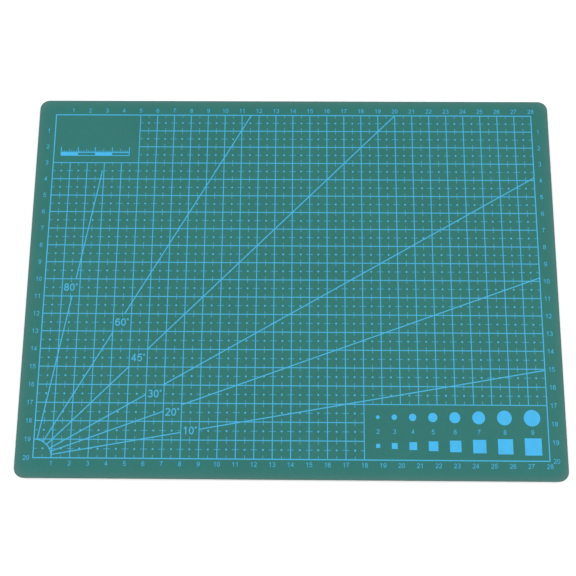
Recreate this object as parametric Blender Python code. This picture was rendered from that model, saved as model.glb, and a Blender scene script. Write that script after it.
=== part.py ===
"""A4 self healing cutting mat: a flat laminate of five plies, die cut to one outline.

Frame: metres, +Z up. The origin is the centre of the underside, +X runs along the length
and +Y across the width, from the user's edge to the far edge.
"""

import math

import bmesh
import bpy

# Driving dimensions of the finished mat.
LENGTH = 0.300
WIDTH = 0.220
CORNER_RADIUS = 0.0055

# Ply thicknesses. The stack is symmetric about the core, so the mat lies flat.
SKIN = 0.0008
TIE_PLY = 0.0004
CORE = 0.0006

# The die rounds the outer rims, and the bevel of its blade leaves the hard core a little proud.
RIM_RADIUS = 0.0004
SOFT_EDGE_SINK = 0.00006

# How finely the round corners and rims are drawn, and the bend above which an edge looks sharp.
CORNER_STEPS = 14
RIM_STEPS = 5
SHARP_ANGLE = math.radians(35)

# Each kind of sheet: its linear RGB colour and its roughness.
GREEN_PVC = (0.044, 0.195, 0.165, 1.0)
GREEN_ROUGHNESS = 0.62
DARK_GREEN_PVC = (0.032, 0.130, 0.110, 1.0)
DARK_GREEN_ROUGHNESS = 0.60
GREY_CORE_PVC = (0.060, 0.100, 0.090, 1.0)
GREY_CORE_ROUGHNESS = 0.55


def clear_scene():
    for obj in list(bpy.data.objects):
        bpy.data.objects.remove(obj)


def pvc(name, colour, roughness):
    """A Principled material for one kind of PVC sheet."""
    material = bpy.data.materials.new(name)
    material.use_nodes = True
    shader = material.node_tree.nodes["Principled BSDF"]
    shader.inputs["Base Color"].default_value = colour
    shader.inputs["Roughness"].default_value = roughness
    shader.inputs["Metallic"].default_value = 0.0
    return material


def outline(inset):
    """Points round the die-cut outline, anticlockwise from above, moved inwards by inset."""
    radius = CORNER_RADIUS - inset
    centre_x = LENGTH / 2 - CORNER_RADIUS
    centre_y = WIDTH / 2 - CORNER_RADIUS
    points = []
    for quarter, (side_x, side_y) in enumerate(((1, 1), (-1, 1), (-1, -1), (1, -1))):
        for step in range(CORNER_STEPS + 1):
            angle = (quarter + step / CORNER_STEPS) * math.pi / 2
            x = side_x * centre_x + radius * math.cos(angle)
            y = side_y * centre_y + radius * math.sin(angle)
            points.append((x, y))
    return points


def square_edge(low, high, inset):
    """The side of a ply that is cut square, as (inset, height) pairs from the bottom up."""
    return [(inset, low), (inset, high)]


def rounded_rim(low, high, inset):
    """The side of a ply whose upper rim is rounded, as (inset, height) pairs from the bottom up."""
    profile = [(inset, low)]
    for step in range(RIM_STEPS + 1):
        angle = step / RIM_STEPS * math.pi / 2
        run = RIM_RADIUS * (1 - math.cos(angle))
        rise = RIM_RADIUS * math.sin(angle)
        profile.append((inset + run, high - RIM_RADIUS + rise))
    return profile


def upside_down(profile, low, high):
    """The same side with its rounded rim below instead of above."""
    return [(inset, low + high - height) for inset, height in reversed(profile)]


def sheet(name, profile, material):
    """A closed sheet whose side follows profile all the way round the outline."""
    mesh = bpy.data.meshes.new(name)
    shape = bmesh.new()
    rings = []
    for inset, height in profile:
        rings.append([shape.verts.new((x, y, height)) for x, y in outline(inset)])
    for lower, upper in zip(rings, rings[1:]):
        for i in range(len(lower)):
            j = (i + 1) % len(lower)
            shape.faces.new((lower[i], lower[j], upper[j], upper[i]))
    shape.faces.new(tuple(reversed(rings[0])))
    shape.faces.new(tuple(rings[-1]))
    shape.to_mesh(mesh)
    shape.free()
    mesh.shade_smooth()
    mesh.set_sharp_from_angle(angle=SHARP_ANGLE)
    mesh.materials.append(material)
    obj = bpy.data.objects.new(name, mesh)
    bpy.context.scene.collection.objects.link(obj)
    return obj


def build_mat():
    green = pvc("green_pvc", GREEN_PVC, GREEN_ROUGHNESS)
    dark_green = pvc("dark_green_pvc", DARK_GREEN_PVC, DARK_GREEN_ROUGHNESS)
    grey = pvc("grey_core_pvc", GREY_CORE_PVC, GREY_CORE_ROUGHNESS)

    # Heights of the faces between plies, from the table up.
    lower_tie_bottom = SKIN
    core_bottom = lower_tie_bottom + TIE_PLY
    core_top = core_bottom + CORE
    top_skin_bottom = core_top + TIE_PLY
    mat_top = top_skin_bottom + SKIN

    bottom_rim = upside_down(rounded_rim(0.0, SKIN, 0.0), 0.0, SKIN)
    sheet("bottom_skin", bottom_rim, green)
    sheet("lower_tie_ply", square_edge(lower_tie_bottom, core_bottom, SOFT_EDGE_SINK), dark_green)
    sheet("core_sheet", square_edge(core_bottom, core_top, 0.0), grey)
    sheet("upper_tie_ply", square_edge(core_top, top_skin_bottom, SOFT_EDGE_SINK), dark_green)
    sheet("top_skin", rounded_rim(top_skin_bottom, mat_top, 0.0), green)


clear_scene()
build_mat()
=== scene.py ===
"""Looks of the A4 self healing cutting mat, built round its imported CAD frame.

The plies come from the frame and get their PVC materials here. The screen print is made
here too: each part of it is a thin film of ink, cut to the exact union of its flat marks.
The print is laid out in centimetres, as on the mat's own rulers: u runs to the right from
the left frame line, and v runs away from the user from the front frame line.
"""

import math

import bmesh
import bpy
from mathutils import Matrix, Vector
from mathutils.geometry import delaunay_2d_cdt


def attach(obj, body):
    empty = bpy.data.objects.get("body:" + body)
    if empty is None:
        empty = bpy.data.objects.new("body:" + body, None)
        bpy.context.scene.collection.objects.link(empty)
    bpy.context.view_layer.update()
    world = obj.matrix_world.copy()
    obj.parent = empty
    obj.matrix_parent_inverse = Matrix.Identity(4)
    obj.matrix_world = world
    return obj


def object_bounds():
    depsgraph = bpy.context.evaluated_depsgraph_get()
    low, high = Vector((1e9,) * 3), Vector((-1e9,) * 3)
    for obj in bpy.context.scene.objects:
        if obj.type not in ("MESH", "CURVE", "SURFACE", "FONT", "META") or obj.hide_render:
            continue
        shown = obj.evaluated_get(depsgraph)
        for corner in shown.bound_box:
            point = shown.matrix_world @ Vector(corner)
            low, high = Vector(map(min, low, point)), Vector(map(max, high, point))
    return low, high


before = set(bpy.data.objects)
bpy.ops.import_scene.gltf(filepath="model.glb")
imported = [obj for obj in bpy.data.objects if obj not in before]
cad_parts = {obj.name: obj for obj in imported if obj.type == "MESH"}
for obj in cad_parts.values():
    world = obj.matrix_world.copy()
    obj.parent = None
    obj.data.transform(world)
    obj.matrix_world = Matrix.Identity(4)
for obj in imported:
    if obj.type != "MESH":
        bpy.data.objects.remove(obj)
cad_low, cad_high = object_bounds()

BODY = "root"
CM = 0.01
MM = 0.001

# The printed grid, which sits a little off the mat's middle, away from the user.
COLUMNS = 28
ROWS = 20
PRINT_OFF_CENTRE = 0.8 * MM
MIDDLE = (cad_low + cad_high) / 2
PRINT_MIDDLE = Vector((MIDDLE.x, MIDDLE.y + PRINT_OFF_CENTRE, cad_high.z))

# Two panels interrupt the grid, each as (low u, low v, high u, high v).
TITLE_PANEL = (0, 17, 5, 20)
GAUGE_PANEL = (18, 0, 28, 3)

# Marks of the grid, in centimetres.
FRAME_LINE = 0.060
GRID_LINE = 0.049
FAN_LINE = 0.058
DASH_LINE = 0.025
DASH_REACH = 0.19
DOT_DIAMETER = 0.108

# The fan of angle lines springs from a quarter circle round the grid's front left corner.
# Each angle stands in one square, given by its low corner, where its line is broken. The steepest
# line stops short of the title panel.
FAN_RADIUS = 1.0
FAN_LABEL_SQUARES = {10: (8, 1), 20: (7, 2), 30: (6, 3), 45: (5, 5), 60: (4, 7), 80: (1, 9)}
STEEP_ANGLE = 80
STEEP_LINE_TOP = 16.5

# The gauge has discs and squares from 2 to 9 mm, with equal gaps between their edges. The squares'
# ink spreads a little past their size on each side.
GAUGE_SIZES_MM = range(2, 10)
GAUGE_GAP = 0.65
GAUGE_DISC_V = 2.31
GAUGE_NUMERAL_V = 1.53
GAUGE_SQUARE_V = 0.76
SQUARE_INK_SPREAD = 0.009

# A plain scale bar, four centimetres long, fills the foot of the title panel. Its ticks have a
# height for each step in millimetres that they mark.
SCALE_CENTIMETRES = 4
SCALE_LEFT = 0.42
SCALE_FOOT = 0.45
SCALE_BAND = 0.18
SCALE_LINE = 0.045
SCALE_TICKS = {10: 0.33, 5: 0.22, 1: 0.12}
SCALE_TICK_LINE = 0.030

# Numerals: (height, stroke) in centimetres, how far the rulers' stand from the frame, and where
# an angle stands in its square.
RULER_NUMERAL = (0.255, 0.030)
GAUGE_NUMERAL = (0.250, 0.030)
FAN_NUMERAL = (0.430, 0.062)
RULER_NUMERAL_OUT_V = 0.28
RULER_NUMERAL_OUT_U = 0.37
FAN_LABEL_LEFT = 0.11
FAN_LABEL_MIDDLE_V = 0.52

# A digit's width, and the step from one digit to the next, in numeral heights.
DIGIT_WIDTH = 0.64
DIGIT_PITCH = 0.76

# The degree ring: its diameter in numeral heights, its line in numeral strokes, and how far its
# middle stands from the last digit, in its own diameters.
DEGREE_DIAMETER = 0.26
DEGREE_LINE = 2 / 3
DEGREE_SPACING = 0.9

# Round marks are drawn with a corner at each of these steps, in degrees.
FINE_STEP = 6
LABEL_STEP = 10
COARSE_STEP = 20
DOT_STEP = 30

# Ink films: how proud they stand, and how far they reach into the skin so that no gap shows.
INK = 0.03 * MM
INK_ROOT = 0.01 * MM

# Corners nearer than this are one corner: in centimetres on the flat, in metres in a film.
SAME_FLAT_POINT = 1e-5
SAME_POINT = 0.0001 * MM

# Linear RGB colours: a skin's face, its worn border and its cut edge, the last greyer and darkened by
# painted shade, then the inner plies, the inks and the floor. White leaves a colour as it is where the
# two are multiplied.
GREEN_FACE = (0.0106, 0.1135, 0.0995)
GREEN_WORN = (0.0400, 0.1200, 0.1060)
GREEN_CUT_AND_PAINTED_SHADE = (0.0340, 0.0720, 0.0665)
TIE_COLOUR = (0.0180, 0.0860, 0.0740)
CORE_COLOUR = (0.0380, 0.0950, 0.0860)
FINE_INK = (0.036, 0.302, 0.500)
SOLID_INK = (0.030, 0.316, 0.575)
PALE_GREY = (0.90, 0.90, 0.90)
WHITE = (1, 1, 1)

# Shades of those colours, each as the factors of its darkest and its lightest; the grain's are painted
# shade and light.
FACE_MOTTLING = (0.98, 1.07)
FACE_GRAIN_PAINTED_SHADE = (0.84, 1.08)
WORN_SHADES = (0.96, 1.04)
SKIN_DRAG_SHADES = (0.90, 1.12)
PLY_DRAG_SHADES = (0.88, 1.14)
INK_CLOUDS = (0.96, 1.06)
INK_GRAIN_PAINTED_SHADE = (0.95, 1.02)
PINHOLE_GRAIN_PAINTED_SHADE = (0.90, 1.10)
FLOOR_SHADES = (0.99, 1.01)

# The lowest and highest roughness of each surface, and how strongly each one mirrors.
SKIN_ROUGHNESS = (0.52, 0.62)
PLY_ROUGHNESS = (0.50, 0.62)
INK_ROUGHNESS = (0.42, 0.52)
FLOOR_ROUGHNESS = (0.88, 0.92)
PVC_SPECULAR = 0.25
INK_SPECULAR = 0.3
FLOOR_SPECULAR = 0.1

# Most noise runs between these two values. Then the sizes of the materials' features.
NOISE_LOW = 0.3
NOISE_HIGH = 0.7
MOTTLE = 50 * MM
HANDLING_MARK = 8 * MM
SCUFF = 3 * MM
DRAG_MARK = 0.6 * MM
GRAIN = 0.35 * MM
INK_CLOUD = 4 * MM
PINHOLE = 0.3 * MM
PINHOLE_NOISE = 0.27
PINHOLE_SOFTNESS = 0.03

# The mat's corners, the border that handling wears, how sharply its wear falls off, and the
# depths of the textures.
CORNER_RADIUS = 5.5 * MM
WORN_BORDER = 9 * MM
WEAR_FALLOFF = 4
GRAIN_DEPTH = 0.08 * MM
INK_GRAIN_DEPTH = 0.04 * MM
DRAG_DEPTH = 0.03 * MM
DRAG_STRETCH = (1, 1, 0.05)

# How level a surface is, as its normal's rise, where the face ends and where the cut edge, with its
# painted shade, starts.
FACE_RISE = 0.98
EDGE_RISE = 0.75

# The camera looks down at the mat from in front; its place and aim are from the print's middle.
LENS_MM = 57.97
SENSOR_MM = 36
CAMERA_PLACE = Vector((3.7, -124.8, 509.9)) * MM
CAMERA_AIM = Vector((-2.115, -4.673, 0)) * MM
CAMERA_ROLL = math.radians(-2.394)
CAMERA_NEAREST = 10 * MM

# Two soft lights, left and right, and the room round them.
SOFTBOX_OUT = 1.2
SOFTBOX_UP = 1.1
SOFTBOX_SIZE = 1.2
SOFTBOX_WATTS = 8.6
ROOM_STRENGTH = 1.12

# The floor: how many times the mat's size it is, how far it reaches in under the mat's outline,
# and how far below the mat it lies.
FLOOR_SPREAD = 40
FLOOR_OVERLAP = 1 * MM
FLOOR_GAP = 0.05 * MM
FLOOR_CLOUD = 0.4


# ---------------------------------------------------------------- flat shapes

def arc(centre, radius_u, radius_v, start, end, step):
    """Points along an ellipse, from one angle to another in degrees."""
    count = max(1, round(abs(end - start) / step))
    angles = [math.radians(start + (end - start) * i / count) for i in range(count + 1)]
    return [(centre[0] + radius_u * math.cos(a), centre[1] + radius_v * math.sin(a)) for a in angles]


def disc(centre, diameter, step):
    """Points round a circle."""
    return arc(centre, diameter / 2, diameter / 2, 0, 360, step)[:-1]


def rectangle(low_u, low_v, high_u, high_v):
    """The four corners of a rectangle."""
    return [(low_u, low_v), (high_u, low_v), (high_u, high_v), (low_u, high_v)]


def stroke(path, width, cap=0.0):
    """The outline of a line of one width along a path, its ends carried on by cap."""
    points = [Vector(point) for point in path]
    runs = [(after - before).normalized() for before, after in zip(points, points[1:])]
    closed = (points[0] - points[-1]).length < width / 100
    if not closed:
        points[0] -= runs[0] * cap
        points[-1] += runs[-1] * cap
    first_run = runs[-1] if closed else runs[0]
    last_run = runs[0] if closed else runs[-1]
    sides = []
    for before, after in zip([first_run] + runs, runs + [last_run]):
        along = (before + after).normalized()
        mitre = width / 2 / along.dot(before)
        sides.append(Vector((-along.y, along.x)) * mitre)
    left = [tuple(point + side) for point, side in zip(points, sides)]
    right = [tuple(point - side) for point, side in zip(points, sides)]
    return right + left[::-1]


# ---------------------------------------------------------------- numerals

def digit_paths(digit, step):
    """The centre lines of a plain digit in a unit box, each with whether its ends are carried on."""
    if digit == "0":
        return [(arc((0.5, 0.5), 0.5, 0.5, 0, 360, step), False)]
    if digit == "1":
        return [([(0.62, 0), (0.62, 1)], True), ([(0.62, 1), (0.12, 0.72)], False)]
    if digit == "2":
        hook = arc((0.5, 0.72), 0.48, 0.28, 165, -32, step)
        return [(hook + [(0, 0)], False), ([(0, 0), (1, 0)], True)]
    if digit == "3":
        upper = arc((0.48, 0.76), 0.44, 0.24, 158, -90, step)
        lower = arc((0.48, 0.26), 0.52, 0.26, 90, -160, step)
        return [(upper, False), (lower, False)]
    if digit == "4":
        stem = [(0.74, 0), (0.74, 1)]
        bar = [(0, 0.26), (1, 0.26)]
        return [(stem, True), (bar, True), ([stem[1], bar[0]], False)]
    if digit == "5":
        bowl = arc((0.48, 0.32), 0.52, 0.33, 148, -160, step)
        return [([(0.22, 1), (0.94, 1)], True), ([(0.22, 1), bowl[0]], True), (bowl, False)]
    if digit == "6":
        bowl = arc((0.5, 0.31), 0.5, 0.31, 0, 360, step)
        back = arc((0.54, 0.5), 0.54, 0.5, 180, 38, step)
        return [(bowl, False), ([(0, 0.31)] + back, False)]
    if digit == "7":
        leg = arc((1.3, 0), 1, 1.046, 180, 107, step)
        return [([(0, 1), (1, 1)], True), (leg, False)]
    if digit == "8":
        upper = arc((0.5, 0.76), 0.42, 0.24, 0, 360, step)
        lower = arc((0.5, 0.26), 0.5, 0.26, 0, 360, step)
        return [(upper, False), (lower, False)]
    # A nine is a six turned upside down.
    return [([(1 - u, 1 - v) for u, v in path], capped) for path, capped in digit_paths("6", step)]


def numeral(text, centre_u, centre_v, height, width, step):
    """The strokes of a whole number, round its own middle."""
    pitch = DIGIT_PITCH * height
    left = centre_u - (pitch * (len(text) - 1) + DIGIT_WIDTH * height) / 2
    box_u = DIGIT_WIDTH * height - width
    box_v = height - width
    shapes = []
    for place, digit in enumerate(text):
        low_u = left + place * pitch + width / 2
        low_v = centre_v - box_v / 2
        for path, capped in digit_paths(digit, step):
            drawn = [(low_u + u * box_u, low_v + v * box_v) for u, v in path]
            shapes.append(stroke(drawn, width, width / 2 if capped else 0))
    return shapes


# ---------------------------------------------------------------- the pattern

def in_panel(panel, u, v):
    """True inside the panel."""
    return panel[0] < u < panel[2] and panel[1] < v < panel[3]


def in_grid(u, v):
    """True inside the frame and outside both panels."""
    if in_panel(TITLE_PANEL, u, v) or in_panel(GAUGE_PANEL, u, v):
        return False
    return 0 < u < COLUMNS and 0 < v < ROWS


def frame_lines():
    """The frame round the grid, and the inner sides of the two panels."""
    around = [(0, 0), (COLUMNS, 0), (COLUMNS, ROWS), (0, ROWS), (0, 0)]
    shapes = [stroke(side, FRAME_LINE, FRAME_LINE / 2) for side in zip(around, around[1:])]
    low_u, low_v, high_u, high_v = TITLE_PANEL
    shapes.append(stroke([(low_u, low_v), (high_u, low_v), (high_u, high_v)], GRID_LINE))
    low_u, low_v, high_u, high_v = GAUGE_PANEL
    shapes.append(stroke([(low_u, low_v), (low_u, high_v), (high_u, high_v)], GRID_LINE))
    return shapes


def grid_lines():
    """The centimetre lines, which stop at the panels."""
    shapes = []
    for u in range(1, COLUMNS):
        low = GAUGE_PANEL[3] if u > GAUGE_PANEL[0] else 0
        high = TITLE_PANEL[1] if u < TITLE_PANEL[2] else ROWS
        shapes.append(stroke([(u, low), (u, high)], GRID_LINE))
    for v in range(1, ROWS):
        low = TITLE_PANEL[2] if v > TITLE_PANEL[1] else 0
        high = GAUGE_PANEL[0] if v < GAUGE_PANEL[3] else COLUMNS
        shapes.append(stroke([(low, v), (high, v)], GRID_LINE))
    return shapes


def half_centimetre_dashes():
    """Short dashes that cross each line of the grid half way along each square."""
    label_squares = set(FAN_LABEL_SQUARES.values())
    shapes = []
    for v in range(ROWS + 1):
        for column in range(COLUMNS):
            u = column + 0.5
            low = v - DASH_REACH * in_grid(u, v - 0.5)
            high = v + DASH_REACH * in_grid(u, v + 0.5)
            if high > low:
                shapes.append(stroke([(u, low), (u, high)], DASH_LINE))
    for u in range(COLUMNS + 1):
        for row in range(ROWS):
            v = row + 0.5
            reach_left = in_grid(u - 0.5, v) and (u - 1, row) not in label_squares
            reach_right = in_grid(u + 0.5, v) and (u, row) not in label_squares
            if reach_left or reach_right:
                ends = [(u - DASH_REACH * reach_left, v), (u + DASH_REACH * reach_right, v)]
                shapes.append(stroke(ends, DASH_LINE))
    return shapes


def centre_dots():
    """A dot in the middle of each square that holds no angle."""
    label_squares = set(FAN_LABEL_SQUARES.values())
    shapes = []
    for column in range(COLUMNS):
        for row in range(ROWS):
            centre = (column + 0.5, row + 0.5)
            if in_grid(*centre) and (column, row) not in label_squares:
                shapes.append(disc(centre, DOT_DIAMETER, DOT_STEP))
    return shapes


def fan_lines():
    """The angle lines, broken where their numerals stand, and the arc that they spring from."""
    shapes = [stroke(arc((0, 0), FAN_RADIUS, FAN_RADIUS, 0, 90, FINE_STEP), FAN_LINE)]
    for degrees, (square_u, square_v) in FAN_LABEL_SQUARES.items():
        cos = math.cos(math.radians(degrees))
        sin = math.sin(math.radians(degrees))
        end = STEEP_LINE_TOP / sin if degrees == STEEP_ANGLE else min(COLUMNS / cos, ROWS / sin)
        gap_start = max(square_u / cos, square_v / sin)
        gap_end = min((square_u + 1) / cos, (square_v + 1) / sin)
        for near, far in ((FAN_RADIUS, gap_start), (gap_end, end)):
            shapes.append(stroke([(near * cos, near * sin), (far * cos, far * sin)], FAN_LINE))
    return shapes


def fan_labels():
    """The angle in each of the fan's squares, with a small degree ring at its top right."""
    height, width = FAN_NUMERAL
    numeral_width = (DIGIT_PITCH + DIGIT_WIDTH) * height
    ring = DEGREE_DIAMETER * height
    shapes = []
    for degrees, (square_u, square_v) in FAN_LABEL_SQUARES.items():
        left = square_u + FAN_LABEL_LEFT
        middle_v = square_v + FAN_LABEL_MIDDLE_V
        centre = left + numeral_width / 2
        shapes += numeral(str(degrees), centre, middle_v, height, width, LABEL_STEP)
        ring_u = left + numeral_width + ring * DEGREE_SPACING
        ring_centre = (ring_u, middle_v + height / 2 - ring / 2)
        ring_line = width * DEGREE_LINE
        ring_radius = (ring - ring_line) / 2
        shapes.append(stroke(arc(ring_centre, ring_radius, ring_radius, 0, 360, COARSE_STEP), ring_line))
    return shapes


def ruler_numerals():
    """The numbers round the frame: columns along the long sides, rows down the short ones."""
    height, width = RULER_NUMERAL
    shapes = []
    for column in range(1, COLUMNS + 1):
        for v in (-RULER_NUMERAL_OUT_V, ROWS + RULER_NUMERAL_OUT_V):
            shapes += numeral(str(column), column, v, height, width, COARSE_STEP)
    for row in range(1, ROWS + 1):
        for u in (-RULER_NUMERAL_OUT_U, COLUMNS + RULER_NUMERAL_OUT_U):
            shapes += numeral(str(row), u, ROWS - row, height, width, COARSE_STEP)
    return shapes


def gauge_places():
    """The size and the u of each pair of gauge marks, both in centimetres."""
    u = GAUGE_PANEL[0]
    for size_mm in GAUGE_SIZES_MM:
        size = size_mm * MM / CM
        u += GAUGE_GAP + size
        yield size_mm, size, u - size / 2


def gauge_marks():
    """A disc and, in front of it, a square of each size."""
    shapes = []
    for _, size, u in gauge_places():
        half = size / 2 + SQUARE_INK_SPREAD
        shapes.append(disc((u, GAUGE_DISC_V), size, FINE_STEP))
        shapes.append(rectangle(u - half, GAUGE_SQUARE_V - half, u + half, GAUGE_SQUARE_V + half))
    return shapes


def gauge_numerals():
    """The size in millimetres between each disc and its square."""
    height, width = GAUGE_NUMERAL
    shapes = []
    for size_mm, _, u in gauge_places():
        shapes += numeral(str(size_mm), u, GAUGE_NUMERAL_V, height, width, COARSE_STEP)
    return shapes


def scale_bar():
    """Centimetre blocks, filled and hollow in turn, under a comb of millimetre ticks."""
    left = TITLE_PANEL[0] + SCALE_LEFT
    foot = TITLE_PANEL[1] + SCALE_FOOT
    right = left + SCALE_CENTIMETRES
    head = foot + SCALE_BAND
    around = [(left, foot), (right, foot), (right, head), (left, head), (left, foot)]
    shapes = [stroke(side, SCALE_LINE, SCALE_LINE / 2) for side in zip(around, around[1:])]
    for block in range(0, SCALE_CENTIMETRES, 2):
        shapes.append(rectangle(left + block, foot, left + block + 1, head))
    for tick in range(SCALE_CENTIMETRES * 10 + 1):
        kind = next(step for step in SCALE_TICKS if tick % step == 0)
        width = SCALE_LINE if kind == 10 else SCALE_TICK_LINE
        u = left + tick / 10
        shapes.append(stroke([(u, head), (u, head + SCALE_TICKS[kind])], width))
    return shapes


# ---------------------------------------------------------------- ink films

def united_triangles(shapes):
    """The corners and triangles of the union of flat shapes, which may overlap."""
    points = []
    loops = []
    for outline in shapes:
        loops.append(list(range(len(points), len(points) + len(outline))))
        points.extend(Vector(point) for point in outline)
    keep_inside = 1
    tell_sources = True
    result = delaunay_2d_cdt(points, [], loops, keep_inside, SAME_FLAT_POINT, tell_sources)
    corners, _, triangles, _, _, covered_by = result
    return corners, [triangle for triangle, cover in zip(triangles, covered_by) if cover]


def print_film(name, shapes, material):
    """One closed film of ink over the union of the shapes, as a piece of the mat."""
    corners, triangles = united_triangles(shapes)
    film = bmesh.new()
    foot = PRINT_MIDDLE.z - INK_ROOT
    made = []
    for u, v in corners:
        x = PRINT_MIDDLE.x + (u - COLUMNS / 2) * CM
        y = PRINT_MIDDLE.y + (v - ROWS / 2) * CM
        made.append(film.verts.new((x, y, foot)))
    for triangle in triangles:
        film.faces.new([made[corner] for corner in triangle])
    bmesh.ops.remove_doubles(film, verts=film.verts, dist=SAME_POINT)
    loose = [corner for corner in film.verts if not corner.link_faces]
    bmesh.ops.delete(film, geom=loose, context="VERTS")
    raised = bmesh.ops.extrude_face_region(film, geom=film.faces[:])["geom"]
    raised_corners = [item for item in raised if isinstance(item, bmesh.types.BMVert)]
    bmesh.ops.translate(film, verts=raised_corners, vec=(0, 0, INK_ROOT + INK))
    bmesh.ops.recalc_face_normals(film, faces=film.faces)
    # The extrusion makes the film's sides in no fixed order, so the faces are put in one.
    in_order = sorted(film.faces, key=lambda face: tuple(face.calc_center_median()))
    for place, face in enumerate(in_order):
        face.index = place
    film.faces.sort()
    mesh = bpy.data.meshes.new(name)
    film.to_mesh(mesh)
    film.free()
    mesh.materials.append(material)
    piece = bpy.data.objects.new(name, mesh)
    bpy.context.scene.collection.objects.link(piece)
    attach(piece, BODY)


def make_print():
    """Every part of the print, fine lines in one ink and solid shapes in the other."""
    fine = ink("fine_line_ink", FINE_INK)
    solid = ink("solid_ink", SOLID_INK)
    grid = frame_lines() + grid_lines() + half_centimetre_dashes() + centre_dots()
    print_film("print_grid_and_angle_fan", grid + fan_lines(), fine)
    print_film("print_angle_numerals", fan_labels(), fine)
    print_film("print_ruler_numerals", ruler_numerals(), fine)
    print_film("print_gauge_shapes", gauge_marks(), solid)
    print_film("print_gauge_numerals", gauge_numerals(), fine)
    print_film("print_scale_bar", scale_bar(), solid)


# ---------------------------------------------------------------- materials

def shade(colour, factor):
    """A colour made darker or lighter."""
    return [channel * factor for channel in colour]


class Material:
    """A Principled material, with short ways to make the nodes that the mat's materials share."""

    def __init__(self, name, specular):
        self.material = bpy.data.materials.new(name)
        self.material.use_nodes = True
        self.nodes = self.material.node_tree.nodes
        self.shader = self.nodes["Principled BSDF"]
        self.shader.inputs["Specular IOR Level"].default_value = specular
        self.coordinates = self.add("ShaderNodeTexCoord")

    def add(self, kind, **settings):
        """A new node with its settings."""
        node = self.nodes.new(kind)
        for setting, value in settings.items():
            setattr(node, setting, value)
        return node

    def link(self, output, socket):
        self.material.node_tree.links.new(output, socket)

    def noise(self, size, detail=2, stretch=(1, 1, 1)):
        """Noise whose features are about size metres across, longer where stretch is small."""
        mapping = self.add("ShaderNodeMapping")
        mapping.inputs["Scale"].default_value = stretch
        self.link(self.coordinates.outputs["Object"], mapping.inputs["Vector"])
        texture = self.add("ShaderNodeTexNoise")
        texture.inputs["Scale"].default_value = 1 / size
        texture.inputs["Detail"].default_value = detail
        self.link(mapping.outputs["Vector"], texture.inputs["Vector"])
        return texture.outputs["Fac"]

    def spread(self, factor, values):
        """Noise spread out to run from the lowest to the highest of two values."""
        spread = self.add("ShaderNodeMapRange")
        spread.inputs["From Min"].default_value = NOISE_LOW
        spread.inputs["From Max"].default_value = NOISE_HIGH
        spread.inputs["To Min"].default_value = values[0]
        spread.inputs["To Max"].default_value = values[1]
        self.link(factor, spread.inputs["Value"])
        return spread.outputs["Result"]

    def shades(self, factor, colour, factors):
        """Shades of one colour, from its darkest factor to its lightest as the noise rises."""
        ramp = self.add("ShaderNodeValToRGB")
        first, last = ramp.color_ramp.elements
        first.position = NOISE_LOW
        last.position = NOISE_HIGH
        first.color = (*shade(colour, factors[0]), 1)
        last.color = (*shade(colour, factors[1]), 1)
        self.link(factor, ramp.inputs["Fac"])
        return ramp.outputs["Color"]

    def mix(self, factor, first, second):
        """The first colour or value where the factor is 0, and the second where it is 1.

        A Mix node takes two values at its sockets 2 and 3, and two colours at 6 and 7.
        """
        colours = first.type == "RGBA"
        mix = self.add("ShaderNodeMix", data_type="RGBA" if colours else "FLOAT")
        slot = 6 if colours else 2
        self.link(factor, mix.inputs[0])
        self.link(first, mix.inputs[slot])
        self.link(second, mix.inputs[slot + 1])
        return mix.outputs[2 if colours else 0]

    def multiply(self, first, second):
        """The product of two colours."""
        product = self.add("ShaderNodeMix", data_type="RGBA", blend_type="MULTIPLY")
        product.inputs[0].default_value = 1
        self.link(first, product.inputs[6])
        self.link(second, product.inputs[7])
        return product.outputs[2]

    def colour(self, output):
        """Gives the surface its colour."""
        self.link(output, self.shader.inputs["Base Color"])

    def roughness(self, factor, values):
        """Gives the surface a roughness that varies between two values."""
        self.link(self.spread(factor, values), self.shader.inputs["Roughness"])

    def bump(self, height, depth):
        """Gives the surface relief of one depth in metres."""
        bump = self.add("ShaderNodeBump")
        bump.inputs["Distance"].default_value = depth
        self.link(height, bump.inputs["Height"])
        self.link(bump.outputs["Normal"], self.shader.inputs["Normal"])

    def wear_mask(self):
        """0 inside the mat's face, rising ever faster to 1 at its outline and over its corners.

        The mat's middle is its origin, so all four quarters fold onto one. Height never counts,
        because it stays below the metre that is taken off it.
        """
        folded = self.add("ShaderNodeVectorMath", operation="ABSOLUTE")
        self.link(self.coordinates.outputs["Object"], folded.inputs[0])
        beyond = self.add("ShaderNodeVectorMath", operation="SUBTRACT")
        beyond.inputs[1].default_value = (cad_high.x - WORN_BORDER, cad_high.y - WORN_BORDER, 1)
        self.link(folded.outputs["Vector"], beyond.inputs[0])
        clamped = self.add("ShaderNodeVectorMath", operation="MAXIMUM")
        clamped.inputs[1].default_value = (0, 0, 0)
        self.link(beyond.outputs["Vector"], clamped.inputs[0])
        length = self.add("ShaderNodeVectorMath", operation="LENGTH")
        self.link(clamped.outputs["Vector"], length.inputs[0])
        nearness = self.add("ShaderNodeMapRange")
        nearness.inputs["From Max"].default_value = WORN_BORDER
        self.link(length.outputs["Value"], nearness.inputs["Value"])
        mask = self.add("ShaderNodeMath", operation="POWER")
        mask.inputs[1].default_value = WEAR_FALLOFF
        self.link(nearness.outputs["Result"], mask.inputs[0])
        return mask.outputs["Value"]

    def edge_mask(self):
        """0 on level faces, 1 on the cut edge and most of the rounded rim, where the colour is the
        greyer cut edge darkened by painted shade.
        """
        parts = self.add("ShaderNodeSeparateXYZ")
        self.link(self.coordinates.outputs["Normal"], parts.inputs["Vector"])
        level = self.add("ShaderNodeMath", operation="ABSOLUTE")
        self.link(parts.outputs["Z"], level.inputs[0])
        mask = self.add("ShaderNodeMapRange")
        mask.inputs["From Min"].default_value = FACE_RISE
        mask.inputs["From Max"].default_value = EDGE_RISE
        self.link(level.outputs["Value"], mask.inputs["Value"])
        return mask.outputs["Result"]


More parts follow.
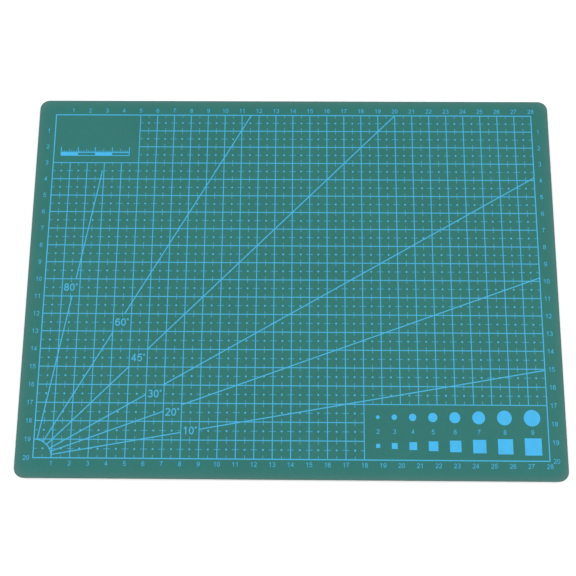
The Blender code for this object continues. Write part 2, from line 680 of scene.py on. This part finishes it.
def ink(name, colour):
    """Screen printing ink: a little cloudy, with painted shade in its grain's hollows, smoother than the
    skin, and pierced by pinholes.
    """
    look = Material(name, INK_SPECULAR)
    clouds = look.shades(look.noise(INK_CLOUD, detail=4), colour, INK_CLOUDS)
    grain = look.noise(GRAIN, detail=2)
    # Painted shade darkens the ink in the hollows of its grain, and painted light lifts its tops.
    film = look.multiply(clouds, look.shades(grain, WHITE, INK_GRAIN_PAINTED_SHADE))
    holes = look.add("ShaderNodeMapRange")
    holes.inputs["From Min"].default_value = PINHOLE_NOISE + PINHOLE_SOFTNESS
    holes.inputs["From Max"].default_value = PINHOLE_NOISE - PINHOLE_SOFTNESS
    look.link(look.noise(PINHOLE), holes.inputs["Value"])
    # The skin seen in the pinholes has the same painted shade in its grain's hollows.
    skin_below = look.shades(grain, GREEN_FACE, PINHOLE_GRAIN_PAINTED_SHADE)
    look.colour(look.mix(holes.outputs["Result"], film, skin_below))
    look.roughness(look.noise(INK_CLOUD / 2), INK_ROUGHNESS)
    look.bump(grain, INK_GRAIN_DEPTH)
    return look.material


def skin(name):
    """Matt PVC: faint mottling and grain, with painted shade in the grain's hollows, on its faces, and a
    greyer edge, darkened by painted shade, with drag marks.
    """
    look = Material(name, PVC_SPECULAR)
    mottling = look.shades(look.noise(MOTTLE, detail=3), GREEN_FACE, FACE_MOTTLING)
    grain = look.noise(GRAIN, detail=3)
    # Painted shade darkens the face in the hollows of its grain, and painted light lifts its tops.
    face = look.multiply(mottling, look.shades(grain, WHITE, FACE_GRAIN_PAINTED_SHADE))
    worn = look.shades(look.noise(SCUFF, detail=4), GREEN_WORN, WORN_SHADES)
    drag = look.noise(DRAG_MARK, detail=3, stretch=DRAG_STRETCH)
    # The cut edge and rim are greyer, and darkened by painted shade as on a rim turned away from the
    # light.
    cut = look.shades(drag, GREEN_CUT_AND_PAINTED_SHADE, SKIN_DRAG_SHADES)
    on_cut_edge_with_painted_shade = look.edge_mask()
    look.colour(look.mix(on_cut_edge_with_painted_shade, look.mix(look.wear_mask(), face, worn), cut))
    look.roughness(look.noise(HANDLING_MARK, detail=4), SKIN_ROUGHNESS)
    look.bump(look.mix(on_cut_edge_with_painted_shade, grain, drag), GRAIN_DEPTH)
    return look.material


def ply(name, colour):
    """PVC that shows only as a band round the cut edge, with fine drag marks."""
    look = Material(name, PVC_SPECULAR)
    drag = look.noise(DRAG_MARK, detail=3, stretch=DRAG_STRETCH)
    look.colour(look.shades(drag, colour, PLY_DRAG_SHADES))
    look.roughness(look.noise(SCUFF, detail=3), PLY_ROUGHNESS)
    look.bump(drag, DRAG_DEPTH)
    return look.material


def dress_plies():
    """Gives each ply from the frame its PVC."""
    green = skin("green_pvc")
    tie = ply("dark_green_pvc", TIE_COLOUR)
    core = ply("grey_core_pvc", CORE_COLOUR)
    looks = {
        "top_skin": green,
        "upper_tie_ply": tie,
        "core_sheet": core,
        "lower_tie_ply": tie,
        "bottom_skin": green,
    }
    for node, material in looks.items():
        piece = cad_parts[node]
        piece.data.materials.clear()
        piece.data.materials.append(material)


# ---------------------------------------------------------------- studio

def make_camera():
    """The camera, which sees everything sharp."""
    camera = bpy.data.cameras.new("camera")
    camera.sensor_width = SENSOR_MM
    camera.lens = LENS_MM
    camera.clip_start = CAMERA_NEAREST
    holder = bpy.data.objects.new("camera", camera)
    bpy.context.scene.collection.objects.link(holder)
    view = (CAMERA_AIM - CAMERA_PLACE).to_track_quat("-Z", "Y").to_matrix().to_4x4()
    roll = Matrix.Rotation(CAMERA_ROLL, 4, "Z")
    holder.matrix_world = Matrix.Translation(PRINT_MIDDLE + CAMERA_PLACE) @ view @ roll
    bpy.context.scene.camera = holder


def make_softbox(name, x):
    """A large round light beside the mat that faces it."""
    light = bpy.data.lights.new(name, "AREA")
    light.shape = "DISK"
    light.size = SOFTBOX_SIZE
    light.energy = SOFTBOX_WATTS
    holder = bpy.data.objects.new(name, light)
    bpy.context.scene.collection.objects.link(holder)
    place = Vector((x, 0, SOFTBOX_UP))
    holder.location = place
    holder.rotation_euler = (-place).to_track_quat("-Z", "Y").to_euler()


def mat_outline(inset):
    """Points round the mat's outline, anticlockwise from above, moved inwards by inset."""
    x = cad_high.x - CORNER_RADIUS
    y = cad_high.y - CORNER_RADIUS
    radius = CORNER_RADIUS - inset
    points = []
    for quarter, centre in enumerate(((x, y), (-x, y), (-x, -y), (x, -y))):
        points += arc(centre, radius, radius, quarter * 90, quarter * 90 + 90, FINE_STEP)
    return points


def make_floor():
    """A wide pale floor just below the mat, open under it so that views from below see its underside."""
    look = Material("floor", FLOOR_SPECULAR)
    look.colour(look.shades(look.noise(FLOOR_CLOUD), PALE_GREY, FLOOR_SHADES))
    look.roughness(look.noise(FLOOR_CLOUD), FLOOR_ROUGHNESS)
    sheet = bmesh.new()
    opening = mat_outline(FLOOR_OVERLAP)
    inner = [sheet.verts.new((x, y, 0)) for x, y in opening]
    outer = [sheet.verts.new((x * FLOOR_SPREAD, y * FLOOR_SPREAD, 0)) for x, y in opening]
    for i in range(len(opening)):
        sheet.faces.new((outer[i - 1], outer[i], inner[i], inner[i - 1]))
    mesh = bpy.data.meshes.new("floor")
    sheet.to_mesh(mesh)
    sheet.free()
    mesh.materials.append(look.material)
    floor = bpy.data.objects.new("floor", mesh)
    floor.location.z = cad_low.z - FLOOR_GAP
    bpy.context.scene.collection.objects.link(floor)


def make_studio():
    """A white room with a soft light at each side of the mat, and the floor."""
    scene = bpy.context.scene
    scene.view_settings.view_transform = "Standard"
    room = bpy.data.worlds.new("room")
    room.use_nodes = True
    background = room.node_tree.nodes["Background"]
    background.inputs["Color"].default_value = (*WHITE, 1)
    background.inputs["Strength"].default_value = ROOM_STRENGTH
    scene.world = room
    make_softbox("left_softbox", -SOFTBOX_OUT)
    make_softbox("right_softbox", SOFTBOX_OUT)
    make_floor()


make_camera()
dress_plies()
make_print()
make_studio()
